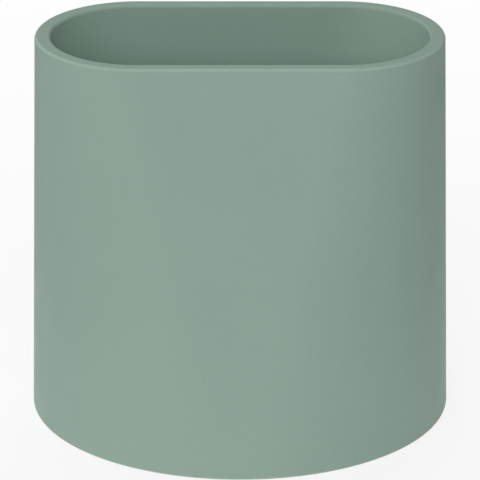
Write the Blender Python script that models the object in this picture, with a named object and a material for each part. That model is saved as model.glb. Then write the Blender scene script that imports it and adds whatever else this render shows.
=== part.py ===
"""Brush holder pot: a round foot that changes smoothly into an obround mouth, standing on a non-slip pad.

Units are metres and +Z is up. The origin lies on the desk at the centre of the foot. +X runs along the
long way of the mouth, and the wide faces of the pot look towards -Y and +Y.
"""

import math

import bmesh
import bpy
from mathutils import Vector

# Driving dimensions: the pot's outside
POT_HEIGHT = 0.100            # desk to rim
FOOT_RADIUS = 0.0534          # the foot is a circle
MOUTH_LENGTH = 0.1040         # outside the rim, along X
MOUTH_DEPTH = 0.0518          # outside the rim, along Y

# Driving dimensions: the clay
WALL = 0.0040                 # measured level
FLOOR = 0.0040                # between the recess below and the inside
RIM_OUTER_ROUND = 0.0009      # radius of the rim's outer edge
RIM_INNER_ROUND = 0.0008      # radius of the rim's inner edge
FOOT_ROUND = 0.0006           # radius where the outside meets the foot
INSIDE_ROUND = 0.0060         # radius where the inside wall meets the floor

# Driving dimensions: the pad and the recess that it sits in
PAD_RADIUS = 0.0425
PAD_THICKNESS = 0.0015
PAD_PROUD = 0.0003            # how far the pad holds the foot off the desk
PAD_ROUND = 0.0004
RECESS_ROUND = 0.0005
GAP = 0.0003                  # the film of adhesive around and above the pad

# Smoothness of curved stretches
HALF_TURN_STEPS = 48
ROUND_STEPS = 4
INSIDE_ROUND_STEPS = 6

# Worked out from the above
MOUTH_END_RADIUS = MOUTH_DEPTH / 2
MOUTH_HALF_STRAIGHT = (MOUTH_LENGTH - MOUTH_DEPTH) / 2
RECESS_RADIUS = PAD_RADIUS + GAP
RECESS_TOP = PAD_THICKNESS + GAP
INSIDE_BOTTOM = RECESS_TOP + FLOOR
MERGE_DISTANCE = 1e-6


def clear_scene():
    """Start from an empty scene."""
    for thing in list(bpy.data.objects):
        bpy.data.objects.remove(thing, do_unlink=True)


def make_material(name, colour, roughness, metallic=0.0):
    """A Principled material with one colour."""
    material = bpy.data.materials.new(name)
    material.use_nodes = True
    shader = material.node_tree.nodes["Principled BSDF"]
    shader.inputs["Base Color"].default_value = (*colour, 1.0)
    shader.inputs["Roughness"].default_value = roughness
    shader.inputs["Metallic"].default_value = metallic
    material.diffuse_color = (*colour, 1.0)
    return material


def obround(height, half_straight, end_radius):
    """Points of a level obround, anticlockwise from above; with no straight stretch it is a circle."""
    points = []
    for side in (1, -1):
        for step in range(HALF_TURN_STEPS + 1):
            turn = math.pi * (step / HALF_TURN_STEPS - 0.5)
            x = side * (half_straight + end_radius * math.cos(turn))
            y = side * end_radius * math.sin(turn)
            points.append(Vector((x, y, height)))
    return points


def body_outline(height, inset):
    """The pot's outline at a height, drawn in from the outside by an inset.

    The straight stretch grows from nothing at the foot, while the ends tighten from the foot's radius to
    the mouth's. Both change evenly with height, so the sides are straight lines from foot to rim.
    """
    rise = (height - PAD_PROUD) / (POT_HEIGHT - PAD_PROUD)
    half_straight = MOUTH_HALF_STRAIGHT * rise
    end_radius = FOOT_RADIUS + (MOUTH_END_RADIUS - FOOT_RADIUS) * rise
    return obround(height, half_straight, end_radius - inset)


def quarter_turn(steps):
    """Pairs (sine, cosine) for a rounded edge that turns from 0 to 90 degrees."""
    turns = [math.pi / 2 * step / steps for step in range(steps + 1)]
    return [(math.sin(turn), math.cos(turn)) for turn in turns]


def recess_outlines():
    """The recess under the foot, from its ceiling down to the foot's flat ring."""
    outlines = [obround(RECESS_TOP, 0.0, RECESS_RADIUS)]
    for sine, cosine in quarter_turn(ROUND_STEPS):
        height = PAD_PROUD + RECESS_ROUND * (1 - sine)
        outlines.append(obround(height, 0.0, RECESS_RADIUS + RECESS_ROUND * (1 - cosine)))
    return outlines


def outside_outlines():
    """The outside, from the foot's rounded edge up to the rim's flat."""
    outlines = []
    for sine, cosine in quarter_turn(ROUND_STEPS):
        outlines.append(body_outline(PAD_PROUD + FOOT_ROUND * (1 - cosine), FOOT_ROUND * (1 - sine)))
    for sine, cosine in quarter_turn(ROUND_STEPS):
        height = POT_HEIGHT - RIM_OUTER_ROUND * (1 - sine)
        outlines.append(body_outline(height, RIM_OUTER_ROUND * (1 - cosine)))
    return outlines


def inside_outlines():
    """The inside, from the rim's flat down to the floor."""
    outlines = []
    for sine, cosine in quarter_turn(ROUND_STEPS):
        height = POT_HEIGHT - RIM_INNER_ROUND * (1 - cosine)
        outlines.append(body_outline(height, WALL - RIM_INNER_ROUND * (1 - sine)))
    for sine, cosine in quarter_turn(INSIDE_ROUND_STEPS):
        height = INSIDE_BOTTOM + INSIDE_ROUND * (1 - sine)
        outlines.append(body_outline(height, WALL + INSIDE_ROUND * (1 - cosine)))
    return outlines


def loft(name, outlines, material):
    """One closed solid through a chain of outlines, with its first and last outlines filled."""
    mesh = bpy.data.meshes.new(name)
    shape = bmesh.new()
    rings = [[shape.verts.new(point) for point in outline] for outline in outlines]
    for lower, upper in zip(rings, rings[1:]):
        for here in range(len(lower)):
            ahead = (here + 1) % len(lower)
            shape.faces.new((lower[here], lower[ahead], upper[ahead], upper[here]))
    shape.faces.new(rings[0])
    shape.faces.new(rings[-1])
    bmesh.ops.remove_doubles(shape, verts=shape.verts, dist=MERGE_DISTANCE)
    bmesh.ops.recalc_face_normals(shape, faces=shape.faces)
    shape.to_mesh(mesh)
    shape.free()
    mesh.materials.append(material)
    mesh.shade_smooth()
    mesh.set_sharp_from_angle(angle=math.radians(30))
    solid = bpy.data.objects.new(name, mesh)
    bpy.context.collection.objects.link(solid)
    return solid


def make_pot():
    """The vessel: recess, foot, outside, rim and inside, as one skin around the clay."""
    glaze = make_material("matt_sage_glaze", (0.254, 0.352, 0.296), roughness=0.62)
    return loft("pot", recess_outlines() + outside_outlines() + inside_outlines(), glaze)


def make_base_pad():
    """The non-slip disc, its lower edge rounded, resting on the desk."""
    rubber = make_material("charcoal_rubber", (0.045, 0.047, 0.046), roughness=0.85)
    outlines = []
    for sine, cosine in quarter_turn(ROUND_STEPS):
        outlines.append(obround(PAD_ROUND * (1 - cosine), 0.0, PAD_RADIUS - PAD_ROUND * (1 - sine)))
    outlines.append(obround(PAD_THICKNESS, 0.0, PAD_RADIUS))
    return loft("base_pad", outlines, rubber)


clear_scene()
make_pot()
make_base_pad()
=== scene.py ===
"""Looks of the brush holder pot: matt sage glaze over bare clay, on a rubber pad, in a white studio.

Units are metres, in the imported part's own frame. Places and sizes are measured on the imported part.
"""

import math

import bmesh
import bpy
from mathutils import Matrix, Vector


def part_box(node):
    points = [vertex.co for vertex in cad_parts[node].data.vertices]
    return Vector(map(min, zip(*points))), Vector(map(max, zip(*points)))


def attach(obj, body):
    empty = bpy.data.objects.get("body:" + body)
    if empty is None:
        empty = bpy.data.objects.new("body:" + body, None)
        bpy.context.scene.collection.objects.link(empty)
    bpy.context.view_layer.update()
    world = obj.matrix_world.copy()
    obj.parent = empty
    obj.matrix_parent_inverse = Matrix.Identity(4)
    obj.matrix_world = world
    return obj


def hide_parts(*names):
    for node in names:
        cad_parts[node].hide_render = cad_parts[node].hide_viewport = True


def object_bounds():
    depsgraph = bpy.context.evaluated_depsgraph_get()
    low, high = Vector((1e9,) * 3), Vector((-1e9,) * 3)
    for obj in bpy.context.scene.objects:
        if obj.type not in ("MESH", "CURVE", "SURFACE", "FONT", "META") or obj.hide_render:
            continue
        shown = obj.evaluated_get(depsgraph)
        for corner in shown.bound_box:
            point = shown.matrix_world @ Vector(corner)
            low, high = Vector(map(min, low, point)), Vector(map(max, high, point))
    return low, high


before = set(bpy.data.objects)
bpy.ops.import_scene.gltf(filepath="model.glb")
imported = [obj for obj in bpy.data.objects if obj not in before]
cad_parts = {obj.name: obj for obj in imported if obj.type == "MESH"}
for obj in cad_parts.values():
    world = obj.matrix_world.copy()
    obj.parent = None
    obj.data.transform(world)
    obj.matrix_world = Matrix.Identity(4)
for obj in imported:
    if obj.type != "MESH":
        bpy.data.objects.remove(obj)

cad_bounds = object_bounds()

MM = 0.001

# Rounded edges of the pot and its pad
RIM_OUTER_ROUND = 0.9 * MM
RIM_INNER_ROUND = 0.8 * MM
FOOT_ROUND = 0.6 * MM
RECESS_ROUND = 0.5 * MM
INSIDE_ROUND = 6.0 * MM
PAD_ROUND = 0.4 * MM

# Fineness of the meshes
QUARTER_STEPS = 96            # points on a quarter of each outline
ROUND_STEPS = 10              # rows on each small rounded edge
INSIDE_ROUND_STEPS = 16
WALL_ROWS = 40
SUPPORT = 0.15 * MM           # how close a flat's first row lies to a rounded edge
FLAT_SHARES = (0.02, 0.2, 0.4, 0.6, 0.8, 0.95)   # rows across a round flat, as shares of its radius

# Patterns: the values between which most of a noise texture lies
NOISE_RANGE = (0.3, 0.7)

# Glaze. Colours are linear, and a pattern's size is about how far apart its marks lie.
SAGE = (0.254, 0.352, 0.296)
INSIDE_PAINTED_LIGHT = 1.35           # times as light inside: painted light, standing in for light that reaches into the pot
EDGE_HIGHLIGHT_AND_THIN_GLAZE_PALER = 1.35             # times as light over an outer edge: a painted highlight, together with the glaze thinning there
EDGE_HIGHLIGHT_AND_THINNING = (0.65, 0.95)  # how strong that paler share is on the crest of such an edge
EDGE_PATCH_SIZE = 4 * MM
CLOUD_SIZE = 30 * MM
CLOUD_CONTRAST = 0.015
GRAIN_SIZE = 0.35 * MM
GRAIN_PALER = 1.4             # times as light in the specks of its grain
GRAIN_SHARE = 0.14            # how strong those specks are at most
SHEEN_PATCH_SIZE = 8 * MM
GLAZE_ROUGHNESS = (0.52, 0.64)
GLAZE_SHINE = 0.20
ROLL_SIZE = 2.4 * MM
ROLL_DEPTH = 0.008 * MM
PIT_SPACING = 0.9 * MM
PIT_RIM = (0.05, 0.16)        # radii of a pit's floor and rim, as shares of the spacing
PIT_DEPTH = 0.008 * MM
FINE_SIZE = 0.25 * MM
FINE_DEPTH = 0.005 * MM

# Bare clay under the foot
CLAY = (0.58, 0.50, 0.41)
CLAY_TONES = (0.85, 1.08)
CLAY_GRAIN_SIZE = 0.5 * MM
CLAY_ROUGHNESS = 0.92
GLAZE_LINE = (0.02 * MM, 0.10 * MM)   # lowest and highest reach of the bare clay above the foot
GLAZE_LINE_WAVE = 3 * MM

# Rubber of the pad
CHARCOAL = (0.045, 0.047, 0.046)
PEBBLE_PAINTED_SHADE_TONES = (1.25, 0.95)   # tops and hollows: painted shade, lighter on the tops and darker in the hollows
PEBBLE_SIZE = 0.9 * MM
PEBBLE_REACH = 0.8            # from a pebble's top to its hollow, as a share of the size
PEBBLE_DEPTH = 0.12 * MM
RUBBER_ROUGHNESS = (0.72, 0.92)
DUST = (0.16, 0.155, 0.15)
DUST_PATCH_SIZE = 9 * MM
DUST_SHARE = 0.30

# Camera: a long lens, in pot heights and degrees
CAMERA_DISTANCE = 15.55
CAMERA_ELEVATION = 21.5
CAMERA_LENS_MM = 455.4
SENSOR_MM = 36.0
AIM_HEIGHT = 0.440            # share of the pot's height that the camera points at

# Light, with lengths in pot heights: each softbox has a name, an azimuth, an elevation and watts
WORLD_STRENGTH = 0.20
SOFTBOX_DISTANCE = 12
SOFTBOX_SIDE = 6
SOFTBOXES = (
    ("front_softbox", 0, 32, 5.3),
    ("front_left_softbox", -30, 30, 2.75),
    ("left_softbox", -90, 30, 1.3),
    ("right_softbox", 110, 30, 1.2),
    ("rear_left_softbox", -130, 30, 2.1),
    ("rear_softbox", 180, 60, 3.8),
)

# The floor: white paper, with lengths in pot heights from the pot's axis
FLOOR_HALF = 150
FLOOR_WHITE = 0.93
FLOOR_ROUGHNESS = 0.9
POOL_GLOW = 0.39              # glow of the paper under the pot, which lights the pot from below
POOL_END = 1.8                # from here on the paper gives off no light
FLOOR_GLOW = 0.80             # share of pure white with which the camera sees the paper under the pot
GLOW_START = 0.6              # both glows keep their strength up to here
GLOW_FULL = 4.0               # from here on the camera sees pure white
WHITE = (1.0, 1.0, 1.0, 1.0)
BLACK = (0.0, 0.0, 0.0, 1.0)


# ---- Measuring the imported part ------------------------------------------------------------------

def meet(node, start, direction):
    """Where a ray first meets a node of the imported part."""
    found, place, _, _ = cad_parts[node].ray_cast(Vector(start), Vector(direction))
    if not found:
        raise ValueError(f"nothing of {node} lies from {start} along {direction}")
    return place


def straight_line(low_height, low_value, high_height, high_value):
    """The straight line through two heights, as a function of height."""
    slope = (high_value - low_value) / (high_height - low_height)
    return lambda height: low_value + slope * (height - low_height)


def outer_reach(direction, heights):
    """How far the outside of the pot lies from its axis, as a function of height."""
    reaches = []
    for height in heights:
        start = direction + Vector((0, 0, height))
        reaches.append(meet("pot", start, -direction).dot(direction))
    return straight_line(heights[0], reaches[0], heights[1], reaches[1])


class PotShape:
    """The pot's sizes, measured by rays: straight walls from a round foot to an obround mouth."""

    def __init__(self):
        low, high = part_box("pot")
        self.foot = low.z
        self.rim = high.z
        third = (self.rim - self.foot) / 3
        heights = (self.foot + third, self.rim - third)
        self.length = outer_reach(Vector((1, 0, 0)), heights)
        self.depth = outer_reach(Vector((0, 1, 0)), heights)
        middle = (self.foot + self.rim) / 2
        self.wall = self.length(middle) - meet("pot", (0, 0, middle), (1, 0, 0)).x
        self.floor = meet("pot", (0, 0, middle), (0, 0, -1)).z
        self.recess = meet("pot", (0, 0, self.foot - middle), (0, 0, 1)).z
        half_way_up = (self.foot + self.recess) / 2
        self.recess_radius = meet("pot", (0, 0, half_way_up), (1, 0, 0)).x

    def outline(self, height, inset):
        """(height, half of the straight stretch, end radius) of the body, drawn in by an inset."""
        radius = self.depth(height)
        return height, max(0.0, self.length(height) - radius), radius - inset


# ---- Building meshes from outlines --------------------------------------------------------------

def quarter_point(travel, half_straight, radius):
    """Point on an obround's first quarter, a distance along it from its +X end."""
    arc = math.pi / 2 * radius
    if travel < arc:
        turn = travel / radius
        return half_straight + radius * math.cos(turn), radius * math.sin(turn)
    return half_straight - (travel - arc), radius


def ring_points(outline):
    """Evenly spaced points round a level obround, anticlockwise from above."""
    height, half_straight, radius = outline
    quarter_length = math.pi / 2 * radius + half_straight
    quarter = [
        quarter_point(quarter_length * step / QUARTER_STEPS, half_straight, radius)
        for step in range(QUARTER_STEPS + 1)
    ]
    out = quarter[:-1]
    back = quarter[:0:-1]
    round_trip = out + [(-x, y) for x, y in back]
    round_trip += [(-x, -y) for x, y in out] + [(x, -y) for x, y in back]
    return [Vector((x, y, height)) for x, y in round_trip]


def quarter_turn(steps):
    """Pairs (sine, cosine) for a rounded edge that turns from 0 to 90 degrees."""
    turns = [math.pi / 2 * step / steps for step in range(steps + 1)]
    return [(math.sin(turn), math.cos(turn)) for turn in turns]


def crest(sine, cosine):
    """Share of edge on a rounded edge: 1 half way round it, 0 at its ends."""
    return (2 * sine * cosine) ** 2


def wall_heights(start, end):
    """Heights of a wall's rows between two rounded edges, with a row close to each edge."""
    onward = math.copysign(SUPPORT, end - start)
    rows = [start + (end - start) * row / WALL_ROWS for row in range(1, WALL_ROWS)]
    return [start + onward] + rows + [end - onward]


class Chain:
    """A chain of outlines, each with its marks for the materials: the shares of edge and of inside."""

    def __init__(self):
        self.outlines = []
        self.marks = []

    def add(self, outline, edge=0.0, inside=0.0):
        self.outlines.append(outline)
        self.marks.append((edge, inside))

    def add_flat(self, outline, shares, inside=0.0):
        """Rows across a level flat, as copies of its outline shrunk towards its middle."""
        height, half_straight, radius = outline
        for share in shares:
            self.add((height, half_straight * share, radius * share), inside=inside)


def loft(name, chain):
    """A closed smooth body through a chain of outlines, closed by a fan at each end."""
    shape = bmesh.new()
    layers = [shape.verts.layers.float.new(mark) for mark in ("edge", "inside")]

    def new_corner(point, marks):
        corner = shape.verts.new(point)
        for layer, mark in zip(layers, marks):
            corner[layer] = mark
        return corner

    rings = []
    for outline, marks in zip(chain.outlines, chain.marks):
        rings.append([new_corner(point, marks) for point in ring_points(outline)])
    count = len(rings[0])
    for lower, upper in zip(rings, rings[1:]):
        for here in range(count):
            ahead = (here + 1) % count
            shape.faces.new((lower[here], lower[ahead], upper[ahead], upper[here]))
    for end in (0, -1):
        centre = new_corner((0, 0, chain.outlines[end][0]), chain.marks[end])
        for here in range(count):
            shape.faces.new((rings[end][here], rings[end][(here + 1) % count], centre))
    bmesh.ops.recalc_face_normals(shape, faces=shape.faces)
    mesh = bpy.data.meshes.new(name)
    shape.to_mesh(mesh)
    shape.free()
    mesh.shade_smooth()
    piece = bpy.data.objects.new(name, mesh)
    bpy.context.collection.objects.link(piece)
    return piece


# ---- The pot ------------------------------------------------------------------------------------

def add_recess(chain, pot):
    """The shallow recess under the foot, from its middle out and down to the foot's ring."""
    ceiling = (pot.recess, 0.0, pot.recess_radius)
    chain.add_flat(ceiling, FLAT_SHARES)
    chain.add((pot.recess, 0.0, pot.recess_radius - SUPPORT))
    chain.add(ceiling)
    chain.add((pot.recess - SUPPORT, 0.0, pot.recess_radius))
    for sine, cosine in quarter_turn(ROUND_STEPS):
        height = pot.foot + RECESS_ROUND * (1 - sine)
        chain.add((height, 0.0, pot.recess_radius + RECESS_ROUND * (1 - cosine)), crest(sine, cosine))


def add_foot(chain, pot):
    """The flat ring that faces the desk, between the recess and the outside."""
    inner = pot.recess_radius + RECESS_ROUND
    outer = pot.outline(pot.foot, FOOT_ROUND)[2]
    for radius in (inner + SUPPORT, (inner + outer) / 2, outer - SUPPORT):
        chain.add((pot.foot, 0.0, radius))


def add_outside(chain, pot):
    """The outside, from the foot's rounded edge up the wall to the rim."""
    for sine, cosine in quarter_turn(ROUND_STEPS):
        height = pot.foot + FOOT_ROUND * (1 - cosine)
        chain.add(pot.outline(height, FOOT_ROUND * (1 - sine)), crest(sine, cosine))
    for height in wall_heights(pot.foot + FOOT_ROUND, pot.rim - RIM_OUTER_ROUND):
        chain.add(pot.outline(height, 0.0))
    for sine, cosine in quarter_turn(ROUND_STEPS):
        height = pot.rim - RIM_OUTER_ROUND * (1 - sine)
        chain.add(pot.outline(height, RIM_OUTER_ROUND * (1 - cosine)), crest(sine, cosine))


def add_rim_flat(chain, pot):
    """The level top of the rim, between its two rounded edges."""
    outer = RIM_OUTER_ROUND
    inner = pot.wall - RIM_INNER_ROUND
    for inset in (outer + SUPPORT, (outer + inner) / 2, inner - SUPPORT):
        chain.add(pot.outline(pot.rim, inset))


def add_inside(chain, pot):
    """The inside, from the rim's inner edge down the wall and round to the middle of the floor."""
    # The inside mark, which sets where the painted light of the inside lies, grows across the rim's inner
    # rounded edge.
    for sine, cosine in quarter_turn(ROUND_STEPS):
        height = pot.rim - RIM_INNER_ROUND * (1 - cosine)
        inset = pot.wall - RIM_INNER_ROUND * (1 - sine)
        chain.add(pot.outline(height, inset), inside=1 - cosine)
    for height in wall_heights(pot.rim - RIM_INNER_ROUND, pot.floor + INSIDE_ROUND):
        chain.add(pot.outline(height, pot.wall), inside=1.0)
    for sine, cosine in quarter_turn(INSIDE_ROUND_STEPS):
        height = pot.floor + INSIDE_ROUND * (1 - sine)
        chain.add(pot.outline(height, pot.wall + INSIDE_ROUND * (1 - cosine)), inside=1.0)
    floor = pot.outline(pot.floor, pot.wall + INSIDE_ROUND)
    chain.add_flat(floor, reversed(FLAT_SHARES), inside=1.0)


def make_pot(pot):
    """The vessel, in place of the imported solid."""
    chain = Chain()
    add_recess(chain, pot)
    add_foot(chain, pot)
    add_outside(chain, pot)
    add_rim_flat(chain, pot)
    add_inside(chain, pot)
    piece = loft("pot_body", chain)
    piece.data.materials.append(matt_glaze_material(pot))
    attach(piece, "root")
    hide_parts("pot")


# ---- The pad ------------------------------------------------------------------------------------

def make_pad():
    """The non-slip disc under the foot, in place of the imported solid."""
    low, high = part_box("base_pad")
    radius = high.x
    flat_radius = radius - PAD_ROUND
    chain = Chain()
    chain.add_flat((low.z, 0.0, flat_radius), FLAT_SHARES)
    chain.add((low.z, 0.0, flat_radius - SUPPORT))
    for sine, cosine in quarter_turn(ROUND_STEPS):
        chain.add((low.z + PAD_ROUND * (1 - cosine), 0.0, flat_radius + PAD_ROUND * sine))
    chain.add((high.z - SUPPORT, 0.0, radius))
    chain.add((high.z, 0.0, radius))
    chain.add((high.z, 0.0, radius - SUPPORT))
    chain.add_flat((high.z, 0.0, radius), reversed(FLAT_SHARES))
    piece = loft("pad_disc", chain)
    piece.data.materials.append(pad_rubber_material())
    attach(piece, "root")
    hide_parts("base_pad")


# ---- Material helpers ---------------------------------------------------------------------------

# Places of the Mix node's colour sockets, whose names it also gives to its sockets for numbers
MIX_FIRST = 6
MIX_SECOND = 7
MIX_RESULT = 2


class Nodes:
    """A material's node tree, with short calls for the nodes that the materials share."""

    def __init__(self, name):
        self.material = bpy.data.materials.new(name)
        self.material.use_nodes = True
        self.tree = self.material.node_tree
        self.shader = self.tree.nodes["Principled BSDF"]
        self.place = self.new("ShaderNodeTexCoord").outputs["Object"]

    def new(self, kind, **settings):
        node = self.tree.nodes.new(kind)
        for name, value in settings.items():
            setattr(node, name, value)
        return node

    def feed(self, socket, value):
        """Link an output into a socket, or set the socket's own value."""
        if isinstance(value, bpy.types.NodeSocket):
            self.tree.links.new(value, socket)
        else:
            socket.default_value = value

    def finish(self, **values):
        """Feed the shader's named inputs, with _ for a space, and return the material."""
        for name, value in values.items():
            self.feed(self.shader.inputs[name.replace("_", " ")], value)
        return self.material

    def height(self):
        """Height of the point."""
        parts = self.new("ShaderNodeSeparateXYZ")
        self.feed(parts.inputs[0], self.place)
        return parts.outputs["Z"]

    def from_axis(self):
        """Level distance of the point from the pot's axis."""
        level = self.new("ShaderNodeVectorMath", operation="MULTIPLY")
        self.feed(level.inputs[0], self.place)
        self.feed(level.inputs[1], (1.0, 1.0, 0.0))
        length = self.new("ShaderNodeVectorMath", operation="LENGTH")
        self.feed(length.inputs[0], level.outputs["Vector"])
        return length.outputs["Value"]

    def mark(self, name):
        """A share that the mesh keeps on its points."""
        return self.new("ShaderNodeAttribute", attribute_name=name).outputs["Fac"]

    def patches(self, size, low=0.0, high=1.0, detail=2.0):
        """Smooth random patches, from low to high."""
        node = self.new("ShaderNodeTexNoise")
        self.feed(node.inputs["Vector"], self.place)
        self.feed(node.inputs["Scale"], 1.0 / size)
        self.feed(node.inputs["Detail"], detail)
        return self.remap(node.outputs["Fac"], *NOISE_RANGE, low, high)

    def cells(self, size, feature="F1"):
        """Distance from the nearest of scattered points, as a share of their spacing."""
        node = self.new("ShaderNodeTexVoronoi", feature=feature)
        self.feed(node.inputs["Vector"], self.place)
        self.feed(node.inputs["Scale"], 1.0 / size)
        return node.outputs["Distance"]

    def math(self, operation, first, second):
        node = self.new("ShaderNodeMath", operation=operation)
        self.feed(node.inputs[0], first)
        self.feed(node.inputs[1], second)
        return node.outputs[0]

    def remap(self, value, from_low, from_high, to_low, to_high):
        node = self.new("ShaderNodeMapRange", clamp=True)
        for place, number in enumerate((value, from_low, from_high, to_low, to_high)):
            self.feed(node.inputs[place], number)
        return node.outputs[0]

    def mix(self, share, first, second):
        """Colour between first and second."""
        node = self.new("ShaderNodeMix", data_type="RGBA")
        self.feed(node.inputs["Factor"], share)
        self.feed(node.inputs[MIX_FIRST], first)
        self.feed(node.inputs[MIX_SECOND], second)
        return node.outputs[MIX_RESULT]

    def bump(self, height, depth, normal=None):
        """Surface relief, depth metres from height 0 to 1, laid over an earlier relief if one is given."""
        node = self.new("ShaderNodeBump")
        self.feed(node.inputs["Strength"], 1.0)
        self.feed(node.inputs["Distance"], depth)
        self.feed(node.inputs["Height"], height)
        if normal is not None:
            self.feed(node.inputs["Normal"], normal)
        return node.outputs["Normal"]


def scaled(colour, factor=1.0):
    """A colour made lighter or darker, with full alpha."""
    return tuple(channel * factor for channel in colour) + (1.0,)


# ---- Materials ----------------------------------------------------------------------------------

def glaze_colour(nodes):
    """Sage glaze: faint clouds, fine grain, painted light that makes it paler inside, and a painted
    highlight, together with the glaze thinning, that makes it paler over outer edges.
    """
    deep = scaled(SAGE, 1 - CLOUD_CONTRAST)
    pale = scaled(SAGE, 1 + CLOUD_CONTRAST)
    outside = nodes.mix(nodes.patches(CLOUD_SIZE, detail=3.0), deep, pale)
    # Painted light: the inside is made paler than the outside.
    colour = nodes.mix(nodes.mark("inside"), outside, scaled(SAGE, INSIDE_PAINTED_LIGHT))
    grain = nodes.patches(GRAIN_SIZE, high=GRAIN_SHARE)
    colour = nodes.mix(grain, colour, scaled(SAGE, GRAIN_PALER))
    # Painted highlight along the outer edges, together with the glaze thinning over them.
    highlight_and_thinning = nodes.patches(EDGE_PATCH_SIZE, *EDGE_HIGHLIGHT_AND_THINNING)
    edge_highlight_and_thinning = nodes.math("MULTIPLY", nodes.mark("edge"), highlight_and_thinning)
    return nodes.mix(edge_highlight_and_thinning, colour, scaled(SAGE, EDGE_HIGHLIGHT_AND_THIN_GLAZE_PALER))


def glaze_relief(nodes):
    """A gentle roll, scattered shallow pits and a fine grain."""
    rolling = nodes.bump(nodes.patches(ROLL_SIZE, detail=1.0), ROLL_DEPTH)
    pits = nodes.remap(nodes.cells(PIT_SPACING), *PIT_RIM, 0.0, 1.0)
    pitted = nodes.bump(pits, PIT_DEPTH, rolling)
    return nodes.bump(nodes.patches(FINE_SIZE), FINE_DEPTH, pitted)


def clay_share(nodes, pot):
    """1 on the bare clay of the foot and the recess, 0 on the glaze, with a slightly uneven line."""
    line = nodes.patches(GLAZE_LINE_WAVE, *GLAZE_LINE)
    on_foot = nodes.math("LESS_THAN", nodes.math("SUBTRACT", nodes.height(), pot.foot), line)
    near_axis = nodes.math("LESS_THAN", nodes.from_axis(), pot.recess_radius + RECESS_ROUND)
    low = nodes.math("LESS_THAN", nodes.height(), (pot.recess + pot.floor) / 2)
    return nodes.math("MAXIMUM", on_foot, nodes.math("MULTIPLY", near_axis, low))


def matt_glaze_material(pot):
    """A matt sage glaze, and bare stoneware under the foot."""
    nodes = Nodes("matt_sage_glaze")
    clay = clay_share(nodes, pot)
    dark_clay, light_clay = (scaled(CLAY, tone) for tone in CLAY_TONES)
    clay_colour = nodes.mix(nodes.patches(CLAY_GRAIN_SIZE, detail=3.0), dark_clay, light_clay)
    glaze_roughness = nodes.patches(SHEEN_PATCH_SIZE, *GLAZE_ROUGHNESS, detail=3.0)
    return nodes.finish(
        Base_Color=nodes.mix(clay, glaze_colour(nodes), clay_colour),
        Roughness=nodes.math("MAXIMUM", glaze_roughness, nodes.math("MULTIPLY", clay, CLAY_ROUGHNESS)),
        Specular_IOR_Level=GLAZE_SHINE,
        Normal=glaze_relief(nodes),
    )


def pad_rubber_material():
    """Charcoal rubber with a moulded pebble grip, painted shade in its hollows, and a little dust."""
    nodes = Nodes("charcoal_grip_rubber")
    pebbles = nodes.remap(nodes.cells(PEBBLE_SIZE, feature="SMOOTH_F1"), 0.0, PEBBLE_REACH, 0.0, 1.0)
    # Painted shade: the rubber is darker in the pebbles' hollows than on their tops.
    tops, hollows = (scaled(CHARCOAL, tone) for tone in PEBBLE_PAINTED_SHADE_TONES)
    rubber = nodes.mix(pebbles, tops, hollows)
    dust = nodes.patches(DUST_PATCH_SIZE, high=DUST_SHARE, detail=4.0)
    return nodes.finish(
        Base_Color=nodes.mix(dust, rubber, scaled(DUST)),
        Roughness=nodes.remap(pebbles, 0.0, 1.0, *RUBBER_ROUGHNESS),
        Normal=nodes.bump(nodes.math("SUBTRACT", 1.0, pebbles), PEBBLE_DEPTH),
    )


def studio_paper_material(height):
    """White paper that glows a little near the pot. The camera sees it overexposed, far off pure white."""
    nodes = Nodes("studio_paper")
    away = nodes.from_axis()
    seen = nodes.new("ShaderNodeLightPath").outputs["Is Camera Ray"]
    glow = nodes.remap(away, GLOW_START * height, GLOW_FULL * height, FLOOR_GLOW, 1.0)
    pool = nodes.remap(away, GLOW_START * height, POOL_END * height, POOL_GLOW, 0.0)
    paper = scaled(WHITE[:3], FLOOR_WHITE)
    return nodes.finish(
        Base_Color=nodes.mix(nodes.math("MULTIPLY", seen, glow), paper, BLACK),
        Roughness=FLOOR_ROUGHNESS,
        Specular_IOR_Level=0.0,
        Emission_Color=WHITE,
        Emission_Strength=nodes.remap(seen, 0.0, 1.0, pool, glow),
    )


# ---- Studio -------------------------------------------------------------------------------------

def make_floor(low, height):
    """The plain white floor on which the pot stands."""
    half = FLOOR_HALF * height
    mesh = bpy.data.meshes.new("studio_floor")
    corners = [(-half, -half, low.z), (half, -half, low.z), (half, half, low.z), (-half, half, low.z)]
    mesh.from_pydata(corners, [], [(0, 1, 2, 3)])
    mesh.materials.append(studio_paper_material(height))
    floor = bpy.data.objects.new("studio_floor", mesh)
    bpy.context.collection.objects.link(floor)


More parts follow.
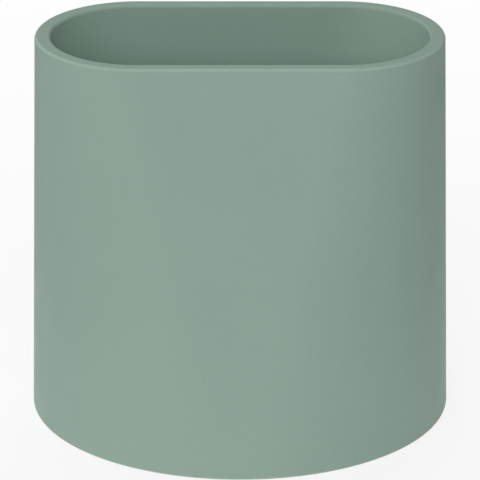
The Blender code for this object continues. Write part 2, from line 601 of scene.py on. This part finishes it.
def set_world():
    """Soft white light from all round, behind a backdrop that the camera sees as white."""
    world = bpy.data.worlds.new("studio_light")
    world.use_nodes = True
    tree = world.node_tree
    background = tree.nodes["Background"]
    background.inputs["Color"].default_value = WHITE
    brightness = tree.nodes.new("ShaderNodeMapRange")
    brightness.inputs["To Min"].default_value = WORLD_STRENGTH
    brightness.inputs["To Max"].default_value = 1.0
    seen = tree.nodes.new("ShaderNodeLightPath").outputs["Is Camera Ray"]
    tree.links.new(seen, brightness.inputs["Value"])
    tree.links.new(brightness.outputs["Result"], background.inputs["Strength"])
    bpy.context.scene.world = world


def direction(azimuth, elevation):
    """Unit vector from the pot, by degrees: azimuth 0 is in front and 90 to the right."""
    turn = math.radians(azimuth)
    rise = math.radians(elevation)
    return Vector((math.sin(turn) * math.cos(rise), -math.cos(turn) * math.cos(rise), math.sin(rise)))


def aim(thing, target):
    """Turn a lamp or camera to look at a point."""
    thing.rotation_euler = (target - thing.location).to_track_quat("-Z", "Y").to_euler()


def add_lights(middle, height):
    """Square softboxes all round the pot and above it, turned to it."""
    for name, azimuth, elevation, watts in SOFTBOXES:
        light = bpy.data.lights.new(name, "AREA")
        light.energy = watts
        light.size = SOFTBOX_SIDE * height
        lamp = bpy.data.objects.new(name, light)
        lamp.location = middle + direction(azimuth, elevation) * SOFTBOX_DISTANCE * height
        bpy.context.collection.objects.link(lamp)
        aim(lamp, middle)


def add_camera(low, high):
    """A long lens in front of the pot and a little above it."""
    height = high.z - low.z
    middle = (low + high) / 2
    lens = bpy.data.cameras.new("studio_camera")
    lens.sensor_width = SENSOR_MM
    lens.lens = CAMERA_LENS_MM
    lens.clip_start = height
    lens.clip_end = 2 * FLOOR_HALF * height
    camera = bpy.data.objects.new("studio_camera", lens)
    camera.location = middle + direction(0, CAMERA_ELEVATION) * CAMERA_DISTANCE * height
    bpy.context.collection.objects.link(camera)
    aim(camera, Vector((middle.x, middle.y, low.z + AIM_HEIGHT * height)))
    bpy.context.scene.camera = camera


# ---- Everything together ------------------------------------------------------------------------

low, high = cad_bounds
pot_height = high.z - low.z
make_pot(PotShape())
make_pad()
make_floor(low, pot_height)
set_world()
add_lights((low + high) / 2, pot_height)
add_camera(low, high)
bpy.context.scene.view_settings.view_transform = "Standard"
